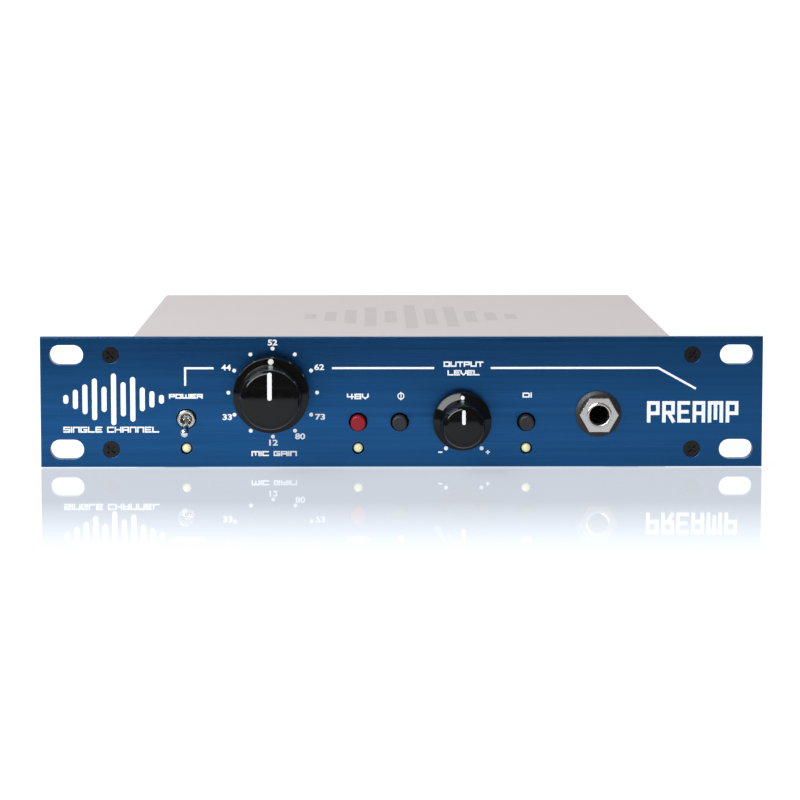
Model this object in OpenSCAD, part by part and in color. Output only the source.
// Half-rack microphone preamp, one rack unit high.
// Origin: centre of the rack-slot pattern, on the front panel's rear face.
// +X to the user's right, +Y towards the rear, +Z up. All sizes in millimetres.

/* [Front panel] */
// Width of the panel, half of a 19 inch rack opening's panel
panel_w = 241.3; // [236:0.1:300]
// Height of the panel, one rack unit less its gap
panel_h = 43.66; // [43:0.01:56]
// Thickness of the panel
panel_t = 4; // [3:0.1:6]
// Small bevel round the panel's front edges
panel_bevel = 0.35; // [0.1:0.05:0.8]
// Distance from the panel's end to the centre of a rack slot
slot_inset = 8.75; // [8:0.05:10]
// Height between the two rows of rack slots
slot_spacing_z = 31.75; // [31:0.05:32]
// Length of a rack slot, end to end
slot_len = 11.3; // [9:0.1:12]
// Height of a rack slot
slot_w = 6.6; // [6:0.1:7.2]

/* [Case] */
// Distance from the panel's end to the side of the case
case_inset = 30.65; // [29:0.05:34]
// Depth of the case behind the panel
case_d = 182; // [150:1:230]
// Sheet thickness of the tray
tray_t = 1.5; // [1:0.1:2]
// Sheet thickness of the top cover
cover_t = 1.5; // [1:0.1:2]
// Step from the panel's top edge down to the cover
cover_drop = 0.4; // [0.2:0.1:1]
// Reach of the tray's ears beyond the side of the case
ear_reach = 14; // [12:0.5:15]
// Distance of the panel screws from the side of the case
ear_screw_out = 7.1; // [6.5:0.1:8]
// Height of the tray's side flanges
flange_h = 14; // [10:1:20]
// Height of the rubber feet
foot_h = 2; // [1.6:0.1:3]
// Diameter of the rubber feet
foot_d = 12; // [8:1:16]
// Gap between the panel's lower edge and the surface under the feet
panel_lift = 0.4; // [0.2:0.1:0.8]

/* [Screws] */
// Thread diameter of all screws
screw_d = 3; // [2.5:0.1:3]
// Diameter of the countersunk heads
flat_head_d = 5.5; // [5:0.1:5.8]
// Diameter of the pan heads
pan_head_d = 5.4; // [5:0.1:5.8]
// Height of the pan heads
pan_head_h = 1.8; // [1.4:0.1:2.2]

/* [Gain control] */
// Gain knob axis, to the right of the centre
gain_x = -43.4; // [-46:0.1:-40]
// Gain knob axis, above the centre
gain_z = 3.2; // [0:0.1:5]
// Diameter of the gain knob's skirt
gain_skirt_d = 25.1; // [23:0.1:26]
// Diameter of the gain knob's grip
gain_grip_d = 20.6; // [19:0.1:21]
// Height of the gain knob
gain_knob_h = 24; // [20:0.5:27]
// Height of the gain knob's skirt where it meets the grip
gain_skirt_h = 9.5; // [5:0.5:10]
// Drop of the gain knob's skirt from the grip to the rim
gain_skirt_drop = 0.5; // [0.2:0.1:1.5]
// Thread diameter of the rotary switch's bushing
gain_bushing_d = 9.4; // [8.6:0.1:10]
// Diameter of the rotary switch behind the panel
gain_switch_d = 26.4; // [22:0.1:30]

/* [Output control] */
// Output knob axis, to the right of the centre
output_x = 20.1; // [18:0.1:24]
// Output knob axis, above the centre
output_z = -5.9; // [-8:0.1:-2]
// Diameter of the output knob's skirt
output_skirt_d = 19.4; // [18:0.1:23.4]
// Diameter of the output knob's grip
output_grip_d = 14.8; // [14.6:0.1:16]
// Height of the output knob
output_knob_h = 22.5; // [19:0.5:25]
// Height of the output knob's skirt where it meets the grip
output_skirt_h = 7; // [5:0.5:9]
// Drop of the output knob's skirt from the grip to the rim
output_skirt_drop = 1.2; // [0.2:0.1:1.5]
// Thread diameter of the potentiometer's bushing
output_bushing_d = 7.4; // [7:0.1:7.6]
// Diameter of the potentiometer behind the panel
output_pot_d = 17; // [15:0.5:20]

/* [Knob fits] */
// Diameter of both control shafts
shaft_d = 6; // [5:0.1:6]
// Gap between a knob and the panel
knob_gap = 1; // [0.6:0.1:1.5]
// Angle of a knob's set screw, clockwise from the pointer
set_screw_angle = 180; // [0:15:345]

/* [Power switch] */
// Power switch axis, to the right of the centre
power_x = -72; // [-74:0.1:-70]
// Power switch axis, above the centre
power_z = -5.6; // [-7:0.1:-4]
// Angle between the lever and level, at either end of its throw
lever_tilt = 14; // [10:0.5:15]
// Length of the lever from its pivot to its tip
lever_len = 15.5; // [11:0.5:17]
// Diameter of the lever's tip
lever_tip_d = 2.8; // [2.4:0.1:3.2]
// Diameter of the threaded bushing
bushing_d = 6; // [5.8:0.1:6.4]

/* [Push buttons] */
// Phantom power button, to the right of the centre
phantom_x = -14.6; // [-16:0.1:-13]
// Phase button, to the right of the centre
phase_x = -0.7; // [-2:0.1:1]
// Direct input button, to the right of the centre
di_x = 41.6; // [40:0.1:44]
// Height of the buttons' axes above the centre
button_z = -6.7; // [-8:0.1:-5]
// Diameter of the button caps
button_d = 5; // [4.4:0.1:5.4]
// Reach of the button caps in front of the panel
button_reach = 4.7; // [4:0.1:6]
// Travel of the buttons
button_travel = 2.5; // [1.5:0.1:2.8]
// Gap round a button cap in its hole
button_gap = 0.6; // [0.3:0.05:0.8]

/* [Lamps] */
// Diameter of the lamp lenses
lamp_d = 3.15; // [2.9:0.05:3.3]
// Gap round a lamp in its hole
lamp_gap = 0.45; // [0.2:0.05:0.6]
// Height of the lamps' axes above the centre
lamp_z = -15.5; // [-16:0.1:-14.5]

/* [Instrument input] */
// Instrument jack axis, to the right of the centre
jack_x = 65.7; // [64:0.1:68]
// Instrument jack axis, above the centre
jack_z = -4; // [-5:0.1:-3]
// Diameter of the jack's bore, for a quarter inch plug
jack_bore_d = 6.5; // [6.4:0.05:6.6]
// Width across flats of the jack's nut
jack_nut_af = 11.2; // [10.8:0.1:12]
// Height of the jack's nut in front of its washer
jack_nut_h = 3.6; // [3:0.1:5]
// Diameter of the jack's washer
jack_washer_d = 15.4; // [14:0.1:16]
// Thickness of the jack's washer
jack_washer_t = 1.2; // [0.8:0.1:1.6]

/* [Rear connectors] */
// Microphone input axis, to the right of the centre
mic_x = 62; // [58:0.5:68]
// Line output axis, to the right of the centre
line_x = 28; // [24:0.5:32]
// Power inlet axis, to the right of the centre
inlet_x = -66; // [-70:0.5:-60]
// Diameter of the connector shells behind the rear wall
shell_d = 23.6; // [22:0.1:23.8]
// Width of the connector flanges
connector_flange_w = 26; // [25:0.5:27]
// Height of the connector flanges
connector_flange_h = 31; // [29:0.5:31]
// Thickness of the connector flanges
connector_flange_t = 2; // [1.5:0.1:2.5]

/* [Boards] */
// Thickness of both circuit boards
board_t = 1.6; // [1:0.1:2]
// Distance of the control board behind the panel
control_board_y = 14; // [13:0.5:16]
// Height of the main board's standoffs
standoff_h = 5; // [4:0.5:6]
// Distance from the panel to the main board's front edge
main_board_y = 36; // [34:0.5:40]
// Distance from the rear face of the case to the main board's rear edge
main_board_rear = 30; // [28:0.5:34]

/* [Hidden] */
$fn = 64;

// Clearances
bolt_clear = 0.2;
thread_clear = 0.05;
seat_clear = 0.1;
run_clear = 0.03;
slide_clear = 0.15;
sink_clear = 0.05;

// Panel and case
front_y = -panel_t;
slot_x = panel_w / 2 - slot_inset;
slot_z = slot_spacing_z / 2;
case_half = panel_w / 2 - case_inset;
inner_half = case_half - cover_t;
rest_z = -panel_h / 2 - panel_lift;
floor_under = rest_z + foot_h;
floor_top = floor_under + tray_t;
cover_top = panel_h / 2 - cover_drop;
cover_under = cover_top - cover_t;
rear_inner_y = case_d - tray_t;
ear_x = case_half + ear_screw_out;
screw_r = screw_d / 2;
nut_shank_r = screw_r + 0.6;
press_nut_flange_h = 2;
flat_screw_edge = 0.05;
sink_r = flat_head_d / 2 + flat_screw_edge + thread_clear + sink_clear;
cover_screw_z = floor_top + flange_h / 2;
cover_screw_y = [25, case_d / 2, case_d - 25];
foot_x = case_half - 15;
foot_y = [16, case_d - 16];

// Controls
shaft_r = shaft_d / 2;
gain_bushing_r = gain_bushing_d / 2;
output_bushing_r = output_bushing_d / 2;
bushing_reach = 3.2;
control_nut_h = 2.2;
control_nut_rim = 1.35;
gain_body_y = control_board_y;
output_body_y = 11;
knob_recess_h = bushing_reach + 0.3;
knob_recess_wall = 1.1;
grip_taper = 0.25;
grip_round_r = 2;
knob_bore_wall = 9;
set_screw_h = 4.5;
lever_mouth_y = front_y - 1.4;
lever_pivot_y = lever_mouth_y + 3.6;
lever_r = 0.93;
lever_ball_r = 1.9;
lever_pin_r = 0.45;
lever_pin_len = 5;
switch_body_y = 4.5;
button_cap_y = front_y - button_reach;
button_rear_y = 2.5;
plunger_w = 3;
switch_front_y = button_rear_y + button_travel + 1;
switch_wall = 1;
switch_w = 8.5;
plunger_head_t = 1;
spring_wire_d = 0.35;
lamp_x = [power_x, phantom_x, di_x];
lamp_flange_y = tray_t;
button_hole_r = button_d / 2 + button_gap;
lamp_hole_r = lamp_d / 2 + lamp_gap;
power_hole_r = bushing_d / 2 + 0.4;

// Instrument jack
jack_sleeve_r = 4.7;
jack_sleeve_end = 9.5;
jack_lip_r = 0.45;
jack_body_end = 32;
jack_body_w = 15;
jack_body_wall = 1.5;
jack_cavity_r = 4.2;
leaf_t = 0.4;
leaf_w = 3;
leaf_front_y = jack_sleeve_end + 4;
leaf_end_y = jack_body_end + 3;
leaf_bend = 1.5;
leaf_off = jack_bore_d / 2 + 0.4;

// Rear connectors
connector_screw_dx = 9.5;
connector_screw_dz = 12;
connector_screw_len = 6;
cup_r = 9.5;
pin_r = 1.2;
pin_ring_r = 4;
pin_angles = [-25, 205, 90];
insert_r = 8.5;
mic_depth = 21;
mic_cup_depth = 15;
mic_base_h = 5.5;
mic_nose_r = 7.7;
mic_tail = 25;
latch_w = 7;
latch_top = 11.9;
latch_t = 2;
latch_in = 9;
latch_out = 4;
latch_travel = 1.5;
line_depth = 20;
line_cup_depth = 13;
line_tail = 24;
inlet_r = 5.5;
inlet_depth = 14;
inlet_cup_r = 2.8;
inlet_cup_depth = 9;
inlet_pin_r = 1.05;
inlet_nut_h = 2.5;

// Boards
control_board_x = [-inner_half + 6, di_x + 10];
control_board_z = [floor_top + 1.5, cover_under - 2.5];
control_back_y = control_board_y + board_t;
main_board_x = [-inner_half + 8, inner_half - 8];
main_board_rear_y = case_d - main_board_rear;
main_board_z = floor_top + standoff_h;
main_top = main_board_z + board_t;
main_hole_inset = 5;
main_hole_x = main_board_x[1] - main_hole_inset;
main_hole_y = [main_board_y + main_hole_inset, main_board_rear_y - main_hole_inset];
ribbon_x = -20;
ribbon_w = 12.7;
ribbon_t = 1;
ribbon_z = 4;
header_h = 8;
header_w = 10;
header_y = main_board_rear_y - 16;
wire_r = 0.6;
wire_gap = 3;
lamp_lead_pitch = 1.27;
lamp_lead_r = 0.4;

// Parts on the main board
rear_row_y = main_board_rear_y - 34;
can_x = -30;
can_d = 26;
can_h = 25;
transformer_x = 50;
core_w = 38;
core_t = 14;
core_h = 27;
core_leg = 12;
coil_y = 26;
window_w = 6.5;
window_h = 18;
large_cap_x = [-72, -54];
large_cap_d = 16;
large_cap_h = 25;
small_cap_x = [-66, -53, -40, -27];
small_cap_y = main_board_y + 14;
small_cap_d = 10;
small_cap_h = 16;
film_x = [2, 16, 30, 44];
film_w = 7;
film_y = [main_board_y + 6, main_board_y + 24];
film_h = 11;
large_film_x = [2, 15];
large_film_d = 18;
large_film_h = 15;
transistor_x = [-62, -47, -32, -17];
transistor_y = [main_board_y + 25, main_board_y + 32];
transistor_r = 2.4;
transistor_h = 4.8;
transistor_lift = 2.5;
regulator_x = [-8, 21];
regulator_y = main_board_rear_y - 26;
regulator_w = 10;
regulator_tab_h = 15;
regulator_case_h = 9;
regulator_lift = 3;

// ---- Shared shapes ----

// Stands a child at a place on the front, its +Z out towards the user and its +Y up
module facing_front(x, z, y = 0) {
    translate([x, y, z]) rotate([90, 0, 0]) children();
}

// Stands a child at a place, its +Z towards the rear and its +Y down
module facing_rear(x, z, y = 0) {
    translate([x, y, z]) rotate([-90, 0, 0]) children();
}

// A block between two ends along each axis
module block(x, y, z) {
    translate([x[0], y[0], z[0]]) cube([x[1] - x[0], y[1] - y[0], z[1] - z[0]]);
}

// A round bar along Y between two ends
module bar_y(x, z, y, r) {
    translate([x, y[0], z]) rotate([-90, 0, 0]) cylinder(h = y[1] - y[0], r = r);
}

// A hexagon with flats above and below, af across flats
module hexagon(af, h) {
    cylinder(h = h, r = af / 2 / cos(30), $fn = 6);
}

// Copies a child at x and -x, z and -z
module four_corners(x, z) {
    for (sx = [-1, 1], sz = [-1, 1]) translate([sx * x, 0, sz * z]) children();
}

// A cross recess sunk into a screw head whose top is at z = 0
module cross_recess(w, depth) {
    arm = 0.8;
    for (a = [45, 135]) rotate([0, 0, a]) translate([-w / 2, -arm / 2, -depth]) cube([w, arm, depth + 1]);
}

// A countersunk screw, its head's top at z = 0 and its thread along -Z
module flat_screw(length) {
    edge = flat_screw_edge;
    cone_h = flat_head_d / 2 - screw_r;
    difference() {
        rotate_extrude() polygon([
            [0, 0], [flat_head_d / 2, 0], [flat_head_d / 2, -edge],
            [screw_r, -edge - cone_h], [screw_r - thread_clear, -edge - cone_h],
            [screw_r - thread_clear, -length], [0, -length]
        ]);
        cross_recess(3.4, 1.2);
    }
}

// A pan head screw, its head's seat at z = 0 and its thread along -Z
module pan_screw(length) {
    dome_r = pan_head_d;
    difference() {
        union() {
            intersection() {
                cylinder(h = pan_head_h, r = pan_head_d / 2);
                translate([0, 0, pan_head_h - dome_r]) sphere(r = dome_r);
            }
            translate([0, 0, -length]) cylinder(h = length + 0.1, r = screw_r - thread_clear);
        }
        translate([0, 0, pan_head_h]) cross_recess(3, 1.2);
    }
}

// A ring of a given bore with a hexagonal outline
module hex_nut(af, h, bore_r) {
    difference() {
        hexagon(af, h);
        translate([0, 0, -1]) cylinder(h = h + 2, r = bore_r);
    }
}

function unit(v) = v / norm(v);

// A round wire along a list of points; side is any direction off its path
module wire(points, r, side, sides = 8) {
    last = len(points) - 1;
    rings = [
        for (i = [0:last]) let (
            t = unit(points[min(i + 1, last)] - points[max(i - 1, 0)]),
            u = unit(side - (side * t) * t),
            v = cross(t, u)
        ) for (k = [0:sides - 1])
            points[i] + r * (cos(360 * k / sides) * u + sin(360 * k / sides) * v)
    ];
    walls = [
        for (i = [0:last - 1], k = [0:sides - 1]) let (
            a = i * sides + k,
            b = i * sides + (k + 1) % sides
        ) each [[a, a + sides, b + sides], [a, b + sides, b]]
    ];
    start_cap = [for (k = [0:sides - 1]) k];
    end_cap = [for (k = [sides - 1:-1:0]) last * sides + k];
    polyhedron(points = rings, faces = concat([start_cap], walls, [end_cap]), convexity = 6);
}

// Points of a smooth path from a to b that leaves a straight along da and reaches b along -db
function route(a, da, b, db, steps = 6) = let (
    first = a + 0.6 * unit(da),
    last = b + 0.6 * unit(db)
) [
    a,
    for (i = [0:steps]) let (t = i / steps, s = 1 - t)
        s * s * s * first + 3 * s * s * t * (first + da) + 3 * s * t * t * (last + db) + t * t * t * last,
    b
];

// A coil spring from z = 0 to z = length
module coil_spring(d, length, turns) {
    path_r = (d - spring_wire_d) / 2;
    rise = length - spring_wire_d;
    steps = 8 * turns;
    wire([
        for (i = [0:steps]) [
            path_r * cos(45 * i), path_r * sin(45 * i), spring_wire_d / 2 + rise * i / steps
        ]
    ], spring_wire_d / 2, [0, 0, 1], 6);
}

// ---- Case ----

// The outline of one rack slot, centred
module slot_outline() {
    end_x = (slot_len - slot_w) / 2;
    square([2 * end_x, slot_w], center = true);
    for (s = [-1, 1]) translate([s * end_x, 0]) circle(d = slot_w);
}

// Every hole that the panel and the tray's front wall share, cut along Y
module control_holes(y) {
    bar_y(gain_x, gain_z, y, gain_bushing_r + bolt_clear);
    bar_y(output_x, output_z, y, output_bushing_r + bolt_clear);
    bar_y(power_x, power_z, y, power_hole_r);
    for (x = [phantom_x, phase_x, di_x]) bar_y(x, button_z, y, button_hole_r);
    for (x = lamp_x) bar_y(x, lamp_z, y, lamp_hole_r);
    bar_y(jack_x, jack_z, y, jack_sleeve_r + bolt_clear);
}

module front_panel() {
    w = panel_w / 2;
    h = panel_h / 2;
    b = panel_bevel;
    color([0.07, 0.24, 0.43]) difference() {
        intersection() {
            translate([-w, 0, 0]) rotate([90, 0, 90]) linear_extrude(height = panel_w)
                polygon([[0, -h], [0, h], [front_y + b, h], [front_y, h - b],
                    [front_y, b - h], [front_y + b, -h]]);
            translate([0, 0, -h]) linear_extrude(height = panel_h)
                polygon([[-w, 0], [w, 0], [w, front_y + b], [w - b, front_y],
                    [b - w, front_y], [-w, front_y + b]]);
        }
        four_corners(slot_x, slot_z) facing_front(0, 0, 1)
            linear_extrude(height = panel_t + 2) slot_outline();
        four_corners(ear_x, slot_z) {
            bar_y(0, 0, [front_y - 1, 1], screw_r + bolt_clear);
            facing_front(0, 0, front_y) translate([0, 0, -sink_r])
                cylinder(h = sink_r + 1, r1 = 0, r2 = sink_r + 1);
        }
        control_holes([front_y - 1, 1]);
    }
}

// The cut-outs of the rear wall
module rear_wall_holes() {
    y = [rear_inner_y - 1, case_d + 1];
    for (x = [mic_x, line_x]) {
        bar_y(x, 0, y, shell_d / 2 + bolt_clear);
        for (s = [-1, 1])
            bar_y(x + s * connector_screw_dx, s * connector_screw_dz, y, screw_r + bolt_clear);
    }
    block([mic_x - latch_w / 2 - 0.7, mic_x + latch_w / 2 + 0.7], y,
        [latch_top - latch_t - 0.9, latch_top + 0.9]);
    bar_y(inlet_x, 0, y, inlet_r + bolt_clear);
}

module chassis_tray() {
    color([0.72, 0.71, 0.71]) difference() {
        union() {
            block([-inner_half, inner_half], [0, case_d], [floor_under, floor_top]);
            ear_half = case_half + ear_reach;
            block([-ear_half, ear_half], [0, tray_t], [floor_under, cover_under]);
            block([-inner_half, inner_half], [rear_inner_y, case_d], [floor_under, cover_under]);
            for (s = [-1, 1]) {
                edge = s * (inner_half - tray_t / 2);
                span_x = [edge - tray_t / 2, edge + tray_t / 2];
                block(span_x, [0, case_d], [floor_under, floor_top + flange_h]);
            }
        }
        control_holes([-1, tray_t + 1]);
        four_corners(ear_x, slot_z) bar_y(0, 0, [-1, tray_t + 1], nut_shank_r + thread_clear);
        rear_wall_holes();
        for (s = [-1, 1], y = cover_screw_y) translate([s * inner_half, y, cover_screw_z])
            rotate([0, 90, 0]) cylinder(h = 4 * tray_t, r = screw_r, center = true);
        for (x = [-main_hole_x, main_hole_x], y = main_hole_y)
            translate([x, y, floor_under - 1]) cylinder(h = tray_t + 2, r = screw_r + bolt_clear);
    }
}

module top_cover() {
    color([0.82, 0.80, 0.80]) difference() {
        union() {
            block([-case_half, case_half], [0, case_d], [cover_under, cover_top]);
            for (s = [-1, 1]) {
                mid = s * (case_half - cover_t / 2);
                span_x = [mid - cover_t / 2, mid + cover_t / 2];
                block(span_x, [tray_t, case_d], [floor_under, cover_top]);
            }
        }
        for (s = [-1, 1], y = cover_screw_y) translate([s * case_half, y, cover_screw_z])
            rotate([0, 90, 0]) cylinder(h = 4 * cover_t, r = screw_r + bolt_clear, center = true);
    }
}

module rubber_feet() {
    bevel = foot_h / 4;
    color([0.06, 0.06, 0.06]) for (x = [-foot_x, foot_x], y = foot_y) translate([x, y, rest_z])
        rotate_extrude() polygon([
            [0, 0], [foot_d / 2 - bevel, 0], [foot_d / 2, bevel], [foot_d / 2, foot_h], [0, foot_h]
        ]);
}

module panel_screws() {
    color([0.08, 0.08, 0.09]) four_corners(ear_x, slot_z)
        facing_front(0, 0, front_y + sink_clear) flat_screw(panel_t + tray_t + 3);
}

module panel_press_nuts() {
    color([0.7, 0.7, 0.72]) four_corners(ear_x, slot_z) facing_rear(0, 0) difference() {
        union() {
            cylinder(h = tray_t, r = nut_shank_r);
            translate([0, 0, tray_t]) cylinder(h = press_nut_flange_h, r = nut_shank_r + 1);
        }
        translate([0, 0, -1]) cylinder(h = tray_t + press_nut_flange_h + 2, r = screw_r);
    }
}

module cover_screws() {
    length = cover_t + tray_t + 1.5;
    color([0.7, 0.7, 0.72]) for (s = [-1, 1], y = cover_screw_y)
        translate([s * case_half, y, cover_screw_z]) rotate([0, s * 90, 0]) pan_screw(length);
}

// ---- Knobs and the controls behind them ----

// Half of a knob's section: a low skirt, and a grip with a rounded front edge
module knob_section(skirt_r, skirt_h, skirt_drop, grip_r, h) {
    c = [grip_r - grip_taper - grip_round_r, h - grip_round_r];
    edge = 0.3;
    rim_h = skirt_h - skirt_drop;
    polygon([
        [0, 0], [skirt_r - edge, 0], [skirt_r, edge], [skirt_r, rim_h - edge],
        [skirt_r - edge, rim_h], [grip_r, skirt_h], [c[0] + grip_round_r, c[1]],
        c, [c[0], h], [0, h]
    ]);
    translate(c) circle(r = grip_round_r);
}

// Height of a set screw's axis above its knob's base
function set_screw_z(h) = h - knob_bore_wall - set_screw_h / 2;

// A knob with its base at z = 0, hollowed for the nut and bored for the shaft
module knob(skirt_d, skirt_h, skirt_drop, grip_d, h) {
    difference() {
        rotate_extrude($fn = 96) knob_section(skirt_d / 2, skirt_h, skirt_drop, grip_d / 2, h);
        translate([0, 0, -1]) cylinder(h = knob_recess_h + 1, r = grip_d / 2 - knob_recess_wall);
        translate([0, 0, -1]) cylinder(h = h - knob_bore_wall + 1, r = shaft_r + run_clear);
        rotate([0, 0, 90 - set_screw_angle]) translate([0, 0, set_screw_z(h)]) rotate([0, 90, 0])
            cylinder(h = skirt_d, r = screw_r + thread_clear);
    }
}

// A set screw that bears on the shaft, in the same place as its hole in the knob
module set_screw(h) {
    socket_depth = 1.8;
    rotate([0, 0, 90 - set_screw_angle]) translate([shaft_r + run_clear, 0, set_screw_z(h)])
        rotate([0, 90, 0]) difference() {
            cylinder(h = set_screw_h - 0.5, r = screw_r);
            translate([0, 0, set_screw_h - 0.5 - socket_depth]) hexagon(1.5, socket_depth + 1);
        }
}

// A control's shaft from inside its body to inside its knob
module control_shaft(x, z, knob_h, body_y) {
    bar_y(x, z, [front_y - knob_gap - knob_h + knob_bore_wall + 0.3, body_y - 2], shaft_r);
}

// A round control body with its bushing, bored for the shaft
module control_body(x, z, d, body_y, bushing_r) {
    difference() {
        union() {
            bar_y(x, z, [tray_t, body_y], d / 2);
            bar_y(x, z, [front_y - bushing_reach, tray_t + 1], bushing_r);
        }
        bar_y(x, z, [front_y - bushing_reach - 1, body_y - 1.5], shaft_r + run_clear);
    }
}

module control_nut(x, z, bushing_r) {
    facing_front(x, z, front_y)
        hex_nut(2 * (bushing_r + control_nut_rim), control_nut_h, bushing_r + thread_clear);
}

module gain_knob() {
    color([0.05, 0.05, 0.05]) facing_front(gain_x, gain_z, front_y - knob_gap)
        knob(gain_skirt_d, gain_skirt_h, gain_skirt_drop, gain_grip_d, gain_knob_h);
}

module gain_knob_set_screw() {
    color([0.3, 0.3, 0.32]) facing_front(gain_x, gain_z, front_y - knob_gap)
        set_screw(gain_knob_h);
}

module gain_shaft() {
    color([0.75, 0.75, 0.76]) control_shaft(gain_x, gain_z, gain_knob_h, gain_body_y);
}

module gain_switch_body() {
    color([0.2, 0.2, 0.22]) control_body(gain_x, gain_z, gain_switch_d, gain_body_y, gain_bushing_r);
}

module gain_switch_nut() {
    color([0.75, 0.75, 0.76]) control_nut(gain_x, gain_z, gain_bushing_r);
}

module output_knob() {
    color([0.05, 0.05, 0.05]) facing_front(output_x, output_z, front_y - knob_gap)
        knob(output_skirt_d, output_skirt_h, output_skirt_drop, output_grip_d, output_knob_h);
}

module output_knob_set_screw() {
    color([0.3, 0.3, 0.32]) facing_front(output_x, output_z, front_y - knob_gap)
        set_screw(output_knob_h);
}

module output_shaft() {
    color([0.75, 0.75, 0.76]) control_shaft(output_x, output_z, output_knob_h, output_body_y);
}

module output_pot_body() {
    pin_block = 10;
    color([0.2, 0.3, 0.25]) {
        control_body(output_x, output_z, output_pot_d, output_body_y, output_bushing_r);
        block([output_x - pin_block / 2, output_x + pin_block / 2],
            [output_body_y - 0.5, control_board_y], [output_z - output_pot_d / 2 + 2, output_z - 1]);
    }
}

module output_pot_nut() {
    color([0.75, 0.75, 0.76]) control_nut(output_x, output_z, output_bushing_r);
}

// ---- Power switch ----

module power_lever() {
    taper_start = 4.5;
    tip_r = lever_tip_d / 2;
    tail = 4.5;
    color([0.8, 0.8, 0.82]) translate([power_x, lever_pivot_y, power_z]) rotate([90 + lever_tilt, 0, 0]) {
        sphere(r = lever_ball_r);
        rotate([0, 90, 0]) cylinder(h = lever_pin_len, r = lever_pin_r, center = true);
        translate([0, 0, -tail]) cylinder(h = tail, r = lever_r - 0.23);
        cylinder(h = taper_start, r = lever_r);
        translate([0, 0, taper_start])
            cylinder(h = lever_len - tip_r - taper_start, r1 = lever_r, r2 = tip_r);
        translate([0, 0, lever_len - tip_r]) sphere(r = tip_r);
    }
}

// The threaded bushing; a slot from its rear end takes the lever's cross pin
module power_bushing() {
    r = bushing_d / 2;
    bevel = 0.4;
    length = switch_body_y - lever_mouth_y;
    pivot_z = lever_pivot_y - lever_mouth_y;
    throat_z = pivot_z - 1.2;
    pin_slot_r = lever_pin_r + run_clear;
    pin_slot_len = lever_pin_len + 2 * run_clear;
    color([0.72, 0.72, 0.72]) facing_rear(power_x, power_z, lever_mouth_y) difference() {
        rotate_extrude() polygon([
            [1, 0], [r - bevel, 0], [r, bevel], [r, length], [1, length]
        ]);
        translate([0, 0, -0.01]) cylinder(h = throat_z + 0.02, r1 = 2.1, r2 = 1.55);
        translate([0, 0, throat_z]) cylinder(h = length, r = lever_ball_r + seat_clear);
        translate([0, 0, pivot_z]) {
            rotate([0, 90, 0]) cylinder(h = pin_slot_len, r = pin_slot_r, center = true);
            translate([-pin_slot_len / 2, -pin_slot_r, 0]) cube([pin_slot_len, 2 * pin_slot_r, length]);
        }
    }
}

module power_switch_body() {
    half_w = 4;
    half_h = 6.3;
    color([0.12, 0.2, 0.35])
        block([power_x - half_w, power_x + half_w], [switch_body_y, control_board_y],
            [power_z - half_h, power_z + half_h]);
}

// ---- Push buttons ----

// A round cap with a square socket for its plunger and a softened front edge
module button_cap(x) {
    r = button_d / 2;
    length = button_rear_y - button_cap_y;
    edge = 0.5;
    socket_w = plunger_w + 2 * thread_clear;
    facing_front(x, button_z, button_rear_y) difference() {
        rotate_extrude() {
            polygon([
                [0, 0], [r, 0], [r, length - edge], [r - edge, length - edge],
                [r - edge, length], [0, length]
            ]);
            translate([r - edge, length - edge]) circle(r = edge);
        }
        translate([-socket_w / 2, -socket_w / 2, -1]) cube([socket_w, socket_w, 5]);
    }
}

// The switch's own slider, with a head that its spring bears on
module plunger(x) {
    head_w = 5;
    stem_front = button_rear_y - 4;
    head_y = switch_front_y + switch_wall + seat_clear;
    block([x - plunger_w / 2, x + plunger_w / 2], [stem_front, head_y + 0.2],
        [button_z - plunger_w / 2, button_z + plunger_w / 2]);
    block([x - head_w / 2, x + head_w / 2], [head_y, head_y + plunger_head_t],
        [button_z - head_w / 2, button_z + head_w / 2]);
}

// The return spring between the plunger's head and the switch's rear wall
module return_spring(x) {
    start = switch_front_y + switch_wall + plunger_head_t + 2 * seat_clear;
    end = control_board_y - switch_wall - seat_clear;
    facing_rear(x, button_z, start) coil_spring(3.8, end - start, 5);
}

module phantom_button() {
    color([0.6, 0.1, 0.18]) button_cap(phantom_x);
}

module phase_button() {
    color([0.05, 0.05, 0.06]) button_cap(phase_x);
}

module di_button() {
    color([0.05, 0.05, 0.06]) button_cap(di_x);
}

module phantom_plunger() {
    color([0.85, 0.85, 0.82]) plunger(phantom_x);
}

module phase_plunger() {
    color([0.85, 0.85, 0.82]) plunger(phase_x);
}

module di_plunger() {
    color([0.85, 0.85, 0.82]) plunger(di_x);
}

module push_switch_bodies() {
    cavity_w = switch_w - 2 * switch_wall;
    slot = plunger_w + 2 * slide_clear;
    color([0.1, 0.1, 0.11]) for (x = [phantom_x, phase_x, di_x]) difference() {
        block([x - switch_w / 2, x + switch_w / 2], [switch_front_y, control_board_y],
            [button_z - switch_w / 2, button_z + switch_w / 2]);
        block([x - cavity_w / 2, x + cavity_w / 2],
            [switch_front_y + switch_wall, control_board_y - switch_wall],
            [button_z - cavity_w / 2, button_z + cavity_w / 2]);
        block([x - slot / 2, x + slot / 2], [switch_front_y - 1, switch_front_y + switch_wall + 1],
            [button_z - slot / 2, button_z + slot / 2]);
    }
}

module phantom_spring() {
    color([0.75, 0.75, 0.75]) return_spring(phantom_x);
}

module phase_spring() {
    color([0.75, 0.75, 0.75]) return_spring(phase_x);
}

module di_spring() {
    color([0.75, 0.75, 0.75]) return_spring(di_x);
}

// ---- Lamps ----

module lamp_lenses() {
    r = lamp_d / 2;
    nose = front_y + r - 0.2;
    color([0.98, 0.97, 0.78]) for (x = lamp_x) {
        bar_y(x, lamp_z, [nose, lamp_flange_y], r);
        translate([x, nose, lamp_z]) sphere(r = r);
        bar_y(x, lamp_z, [lamp_flange_y - 1, lamp_flange_y], r + lamp_gap / 2);
    }
}

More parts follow.
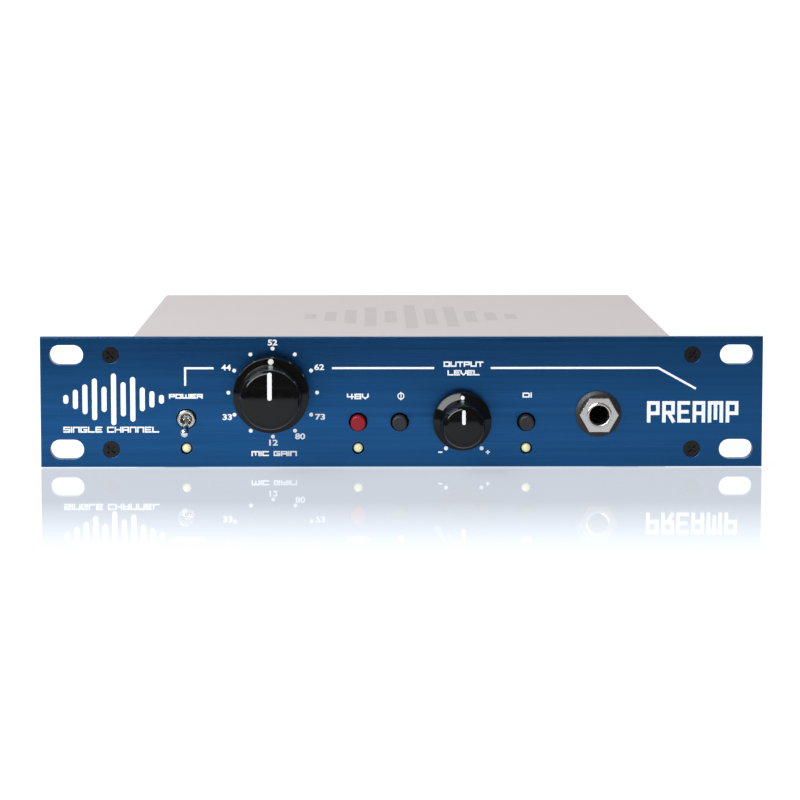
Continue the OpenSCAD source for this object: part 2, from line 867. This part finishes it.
module lamp_spacers() {
    color([0.05, 0.05, 0.05]) for (x = lamp_x) difference() {
        bar_y(x, lamp_z, [lamp_flange_y, control_board_y], lamp_d / 2 + 0.6);
        for (s = [-1, 1])
            bar_y(x + s * lamp_lead_pitch / 2, lamp_z, [0, control_board_y + 1], lamp_lead_r);
    }
}

// ---- Instrument jack ----

module di_jack_body() {
    half = jack_body_w / 2;
    color([0.04, 0.04, 0.04]) difference() {
        block([jack_x - half, jack_x + half], [tray_t, jack_body_end], [jack_z - half, jack_z + half]);
        bar_y(jack_x, jack_z, [0, jack_sleeve_end + 0.2], jack_sleeve_r + thread_clear);
        bar_y(jack_x, jack_z, [0, jack_body_end - jack_body_wall], jack_cavity_r);
        for (s = [-1, 1]) {
            block([jack_x - leaf_w / 2 - 0.5, jack_x + leaf_w / 2 + 0.5],
                [leaf_front_y - 2, jack_body_end - jack_body_wall],
                [jack_z + s * leaf_off - 2.5, jack_z + s * leaf_off + 2.5]);
            block([jack_x - leaf_w / 2, jack_x + leaf_w / 2], [leaf_front_y, jack_body_end + 1],
                [jack_z + s * leaf_off - leaf_t / 2, jack_z + s * leaf_off + leaf_t / 2]);
        }
    }
}

module di_jack_nut() {
    washer_y = front_y - jack_washer_t;
    nut_front = washer_y - jack_nut_h;
    lip_x = jack_bore_d / 2 + jack_lip_r;
    length = jack_sleeve_end - nut_front;
    color([0.78, 0.76, 0.73]) facing_rear(jack_x, jack_z, nut_front) difference() {
        union() {
            hexagon(jack_nut_af, jack_nut_h);
            cylinder(h = length, r = jack_sleeve_r);
            rotate_extrude() translate([lip_x, 0]) circle(r = jack_lip_r);
        }
        translate([0, 0, -1]) cylinder(h = length + 2, d = jack_bore_d);
    }
}

module di_jack_washer() {
    r = jack_washer_d / 2;
    bore = jack_sleeve_r + bolt_clear;
    color([0.12, 0.12, 0.13]) facing_front(jack_x, jack_z, front_y) rotate_extrude() polygon([
        [bore, 0], [r, 0], [r, jack_washer_t * 0.5], [r - 1.2, jack_washer_t], [bore, jack_washer_t]
    ]);
}

// Two leaf contacts, gripped where they leave the jack's rear wall
module di_jack_contacts() {
    x = [jack_x - leaf_w / 2, jack_x + leaf_w / 2];
    color([0.85, 0.75, 0.45]) for (s = [-1, 1]) {
        leaf_z = jack_z + s * leaf_off;
        bend_z = leaf_z + s * leaf_bend;
        block(x, [leaf_front_y, leaf_end_y], [leaf_z - leaf_t / 2, leaf_z + leaf_t / 2]);
        block(x, [leaf_front_y, leaf_front_y + leaf_t], [min(leaf_z, bend_z), max(leaf_z, bend_z)]);
    }
}

// ---- Rear connectors ----

// A flange plate with round corners and two screw holes, its seat at z = 0
module connector_flange() {
    corner = 2.5;
    x = connector_flange_w / 2;
    y = connector_flange_h / 2;
    difference() {
        linear_extrude(height = connector_flange_t) {
            square([2 * x, 2 * (y - corner)], center = true);
            square([2 * (x - corner), 2 * y], center = true);
            for (sx = [-1, 1], sy = [-1, 1])
                translate([sx * (x - corner), sy * (y - corner)]) circle(r = corner);
        }
        for (s = [-1, 1]) translate([s * connector_screw_dx, -s * connector_screw_dz, -1])
            cylinder(h = connector_flange_t + 2, r = screw_r + bolt_clear);
    }
}

module mic_in_shell() {
    slot_half = latch_w / 2 + slide_clear;
    color([0.72, 0.72, 0.73]) facing_rear(mic_x, 0, case_d) difference() {
        union() {
            connector_flange();
            translate([0, 0, -mic_depth]) cylinder(h = mic_depth + 1, d = shell_d);
        }
        translate([0, 0, -mic_cup_depth]) cylinder(h = mic_cup_depth + 5, r = cup_r + slide_clear);
        translate([0, 0, -mic_depth - 1]) cylinder(h = mic_depth, r = insert_r + seat_clear);
        translate([-slot_half, -latch_top - slide_clear, -latch_in - latch_travel - 2.5])
            cube([2 * slot_half, 5, 20]);
    }
}

module mic_in_insert() {
    color([0.05, 0.05, 0.05]) facing_rear(mic_x, 0, case_d) difference() {
        union() {
            translate([0, 0, -mic_depth]) cylinder(h = mic_depth - 1, r = mic_nose_r);
            translate([0, 0, -mic_depth]) cylinder(h = mic_base_h, r = insert_r);
        }
        for (a = pin_angles) rotate([0, 0, a]) translate([pin_ring_r, 0, -mic_depth - 1])
            cylinder(h = mic_depth + 4, r = pin_r + 0.4 + thread_clear);
    }
}

module mic_in_contacts() {
    color([0.85, 0.75, 0.45]) facing_rear(mic_x, 0, case_d) for (a = pin_angles) rotate([0, 0, a])
        translate([pin_ring_r, 0, 0]) difference() {
            union() {
                translate([0, 0, -mic_depth + 1]) cylinder(h = mic_depth - 4, r = pin_r + 0.4);
                translate([0, 0, -mic_tail]) cylinder(h = mic_tail - mic_depth + 2, r = 0.9);
            }
            translate([0, 0, -mic_cup_depth + 1]) cylinder(h = mic_cup_depth, r = pin_r + seat_clear);
        }
}

module mic_in_latch() {
    color([0.75, 0.75, 0.76]) facing_rear(mic_x, 0, case_d) {
        translate([-latch_w / 2, -latch_top, -latch_in]) cube([latch_w, latch_t, latch_in + latch_out]);
        translate([-latch_w / 2, -latch_top, -latch_in]) cube([latch_w, latch_t + 1, 1.5]);
    }
}

module line_out_shell() {
    color([0.72, 0.72, 0.73]) facing_rear(line_x, 0, case_d) difference() {
        union() {
            connector_flange();
            translate([0, 0, -line_depth]) cylinder(h = line_depth + 1, d = shell_d);
        }
        translate([0, 0, -line_cup_depth]) cylinder(h = line_cup_depth + 5, r = cup_r);
        translate([0, 0, -line_depth - 1]) cylinder(h = line_depth, r = insert_r + seat_clear);
    }
}

module line_out_insert() {
    color([0.05, 0.05, 0.05]) facing_rear(line_x, 0, case_d) difference() {
        translate([0, 0, -line_depth]) cylinder(h = line_depth - line_cup_depth, r = insert_r);
        for (a = pin_angles) rotate([0, 0, a]) translate([pin_ring_r, 0, -line_depth - 1])
            cylinder(h = line_depth, r = pin_r + 0.02);
    }
}

module line_out_pins() {
    color([0.85, 0.75, 0.45]) facing_rear(line_x, 0, case_d) for (a = pin_angles) rotate([0, 0, a])
        translate([pin_ring_r, 0, 0]) rotate_extrude() polygon([
            [0, -line_tail], [pin_r, -line_tail], [pin_r, -1.6], [pin_r - 0.6, -0.8], [0, -0.8]
        ]);
}

module connector_screws() {
    color([0.08, 0.08, 0.09]) for (x = [mic_x, line_x], s = [-1, 1])
        facing_rear(x + s * connector_screw_dx, s * connector_screw_dz, case_d + connector_flange_t)
            pan_screw(connector_screw_len);
}

module power_inlet_body() {
    color([0.06, 0.06, 0.06]) facing_rear(inlet_x, 0, case_d) difference() {
        union() {
            cylinder(h = connector_flange_t, r = inlet_r + 1.8);
            translate([0, 0, -inlet_depth]) cylinder(h = inlet_depth + 1, r = inlet_r);
        }
        translate([0, 0, -inlet_cup_depth]) cylinder(h = inlet_cup_depth + 3, r = inlet_cup_r);
        translate([0, 0, -inlet_depth - 1]) cylinder(h = inlet_depth, r = inlet_pin_r + 0.02);
    }
}

module power_inlet_nut() {
    color([0.75, 0.75, 0.76]) facing_rear(inlet_x, 0, rear_inner_y - inlet_nut_h)
        hex_nut(14, inlet_nut_h, inlet_r + thread_clear);
}

module power_inlet_pin() {
    color([0.8, 0.8, 0.8]) facing_rear(inlet_x, 0, case_d) rotate_extrude() polygon([
        [0, -inlet_depth - 4], [inlet_pin_r, -inlet_depth - 4], [inlet_pin_r, 0],
        [inlet_pin_r - 0.35, 0.6], [0, 0.6]
    ]);
}

// ---- Boards and what stands on them ----

module control_board() {
    color([0.05, 0.3, 0.15]) difference() {
        block(control_board_x, [control_board_y, control_back_y], control_board_z);
        for (x = lamp_x, s = [-1, 1])
            bar_y(x + s * lamp_lead_pitch / 2, lamp_z, [control_board_y - 1, control_back_y + 1],
                lamp_lead_r);
    }
}

module main_board() {
    color([0.05, 0.3, 0.15]) difference() {
        block(main_board_x, [main_board_y, main_board_rear_y], [main_board_z, main_top]);
        for (x = [-main_hole_x, main_hole_x], y = main_hole_y)
            translate([x, y, main_board_z - 1]) cylinder(h = board_t + 2, r = screw_r + bolt_clear);
    }
}

module board_standoffs() {
    color([0.8, 0.7, 0.4]) for (x = [-main_hole_x, main_hole_x], y = main_hole_y)
        translate([x, y, floor_top]) hex_nut(5.5, standoff_h, screw_r);
}

module board_screws() {
    color([0.7, 0.7, 0.72]) for (x = [-main_hole_x, main_hole_x], y = main_hole_y)
        translate([x, y, main_top]) pan_screw(board_t + standoff_h - 1);
}

// A shielding can for the input transformer
module input_transformer() {
    bevel = 1;
    color([0.6, 0.6, 0.62]) translate([can_x, rear_row_y, main_top]) {
        cylinder(h = can_h - bevel, d = can_d);
        translate([0, 0, can_h - bevel]) cylinder(h = bevel, d1 = can_d, d2 = can_d - 2 * bevel);
    }
}

module output_transformer_core() {
    mid_z = main_top + core_h / 2;
    color([0.35, 0.35, 0.37]) translate([transformer_x, rear_row_y, mid_z]) difference() {
        cube([core_w, core_t, core_h], center = true);
        for (s = [-1, 1]) translate([s * (core_leg + window_w) / 2, 0, 0])
            cube([window_w, core_t + 2, window_h], center = true);
    }
}

module output_transformer_coil() {
    mid_z = main_top + core_h / 2;
    fit = 2 * slide_clear;
    color([0.75, 0.6, 0.2]) translate([transformer_x, rear_row_y, mid_z]) difference() {
        cube([core_leg + 2 * window_w - fit, coil_y, window_h - fit], center = true);
        cube([core_leg + fit, core_t + fit, window_h + 2], center = true);
    }
}

module electrolytic_capacitors() {
    color([0.1, 0.12, 0.3]) {
        for (x = large_cap_x) translate([x, rear_row_y, main_top])
            cylinder(h = large_cap_h, d = large_cap_d);
        for (x = small_cap_x) translate([x, small_cap_y, main_top])
            cylinder(h = small_cap_h, d = small_cap_d);
    }
}

module film_capacitors() {
    color([0.65, 0.12, 0.1]) {
        for (x = film_x) block([x, x + film_w], film_y, [main_top, main_top + film_h]);
        block(large_film_x, [rear_row_y - large_film_d / 2, rear_row_y + large_film_d / 2],
            [main_top, main_top + large_film_h]);
    }
}

// Small cased transistors in two rows, and two tabbed regulators behind them
module transistors() {
    lead_pitch = 1.27;
    lead_r = 0.3;
    tab_t = 1.3;
    case_t = 4.5;
    pin_pitch = 2.54;
    pin_half = 0.4;
    color([0.08, 0.08, 0.08]) {
        for (y = transistor_y, x = transistor_x)
            translate([x, y, main_top + transistor_lift]) difference() {
                union() {
                    cylinder(h = transistor_h, r = transistor_r);
                    for (s = [-1, 0, 1]) translate([s * lead_pitch, 0, -transistor_lift])
                        cylinder(h = transistor_lift + 0.5, r = lead_r);
                }
                translate([-transistor_r, -2 * transistor_r - 1, -0.01])
                    cube([2 * transistor_r, 2 * transistor_r, transistor_h + 1]);
            }
        for (x = regulator_x) {
            y = regulator_y;
            z = main_top + regulator_lift;
            wide = [x - regulator_w / 2, x + regulator_w / 2];
            block(wide, [y, y + case_t], [z, z + regulator_case_h]);
            block(wide, [y + case_t - 0.1, y + case_t + tab_t], [z, z + regulator_tab_h]);
            for (s = [-1, 0, 1])
                block([x + pin_pitch * s - pin_half, x + pin_pitch * s + pin_half],
                    [y + 2, y + 2.5], [main_top, z + 0.2]);
        }
    }
}

// Wire-to-board headers near the connectors, and the two ends of the ribbon
module board_headers() {
    ribbon = [ribbon_x - ribbon_w / 2 - 1, ribbon_x + ribbon_w / 2 + 1];
    half = header_w / 2;
    level = [ribbon_z - 3, ribbon_z + 3];
    color([0.92, 0.9, 0.84]) {
        for (x = [mic_x, line_x, inlet_x])
            block([x - half, x + half], [header_y - 3, header_y + 3], [main_top, main_top + header_h]);
        block(ribbon, [control_back_y, control_back_y + 6], level);
        block(ribbon, [main_board_y + 2, main_board_y + 8], [main_top, main_top + 6]);
        block([di_x - 1, di_x + 7], [control_back_y, control_back_y + 5], level);
    }
}

// A flat cable that turns down from the control board to the main board
module ribbon_cable() {
    t = ribbon_t;
    start = control_back_y + 6;
    end_y = main_board_y + 5;
    end_z = main_top + 6;
    bend = 6;
    color([0.6, 0.6, 0.62]) translate([ribbon_x - ribbon_w / 2, 0, 0]) rotate([90, 0, 90])
        linear_extrude(height = ribbon_w) {
            translate([start, ribbon_z - t / 2]) square([end_y - bend - start, t]);
            translate([end_y - t / 2, end_z]) square([t, ribbon_z - bend - end_z]);
            translate([end_y - bend, ribbon_z - bend]) intersection() {
                difference() {
                    circle(r = bend + t / 2);
                    circle(r = bend - t / 2);
                }
                square(2 * bend);
            }
        }
}

// Leads from the rear connectors and the instrument jack to their headers
module internal_wires() {
    drop = [0, 0, 6];
    color([0.8, 0.8, 0.8]) {
        for (x = [mic_x, line_x], i = [0:2]) {
            tail_y = case_d - (x == mic_x ? mic_tail : line_tail);
            a = pin_angles[i];
            tail = [x + pin_ring_r * cos(a), tail_y, -pin_ring_r * sin(a)];
            head = [x + wire_gap * (1 - i), header_y, main_top + header_h];
            wire(route(tail, [0, -7, 0], head, drop), wire_r, [1, 0, 0]);
        }
        for (s = [-1, 1]) wire(
            route([inlet_x + wire_gap * s, case_d - inlet_depth, 0], [0, -9, 0],
                [inlet_x + wire_gap * s, header_y, main_top + header_h], drop),
            wire_r, [1, 0, 0]
        );
        for (s = [-1, 1]) wire(
            route([jack_x, leaf_end_y, jack_z + s * leaf_off], [0, 5, 0],
                [di_x + 3, control_back_y + 5, ribbon_z + wire_gap / 2 * s], [0, 10, 0]),
            wire_r, [0, 0, 1]
        );
    }
}

front_panel();
chassis_tray();
top_cover();
rubber_feet();
panel_screws();
panel_press_nuts();
cover_screws();
gain_knob();
gain_knob_set_screw();
gain_shaft();
gain_switch_body();
gain_switch_nut();
output_knob();
output_knob_set_screw();
output_shaft();
output_pot_body();
output_pot_nut();
power_lever();
power_bushing();
power_switch_body();
phantom_button();
phase_button();
di_button();
phantom_plunger();
phase_plunger();
di_plunger();
push_switch_bodies();
phantom_spring();
phase_spring();
di_spring();
lamp_lenses();
lamp_spacers();
di_jack_body();
di_jack_nut();
di_jack_washer();
di_jack_contacts();
mic_in_shell();
mic_in_insert();
mic_in_contacts();
mic_in_latch();
line_out_shell();
line_out_insert();
line_out_pins();
connector_screws();
power_inlet_body();
power_inlet_nut();
power_inlet_pin();
control_board();
main_board();
board_standoffs();
board_screws();
input_transformer();
output_transformer_core();
output_transformer_coil();
electrolytic_capacitors();
film_capacitors();
transistors();
board_headers();
ribbon_cable();
internal_wires();
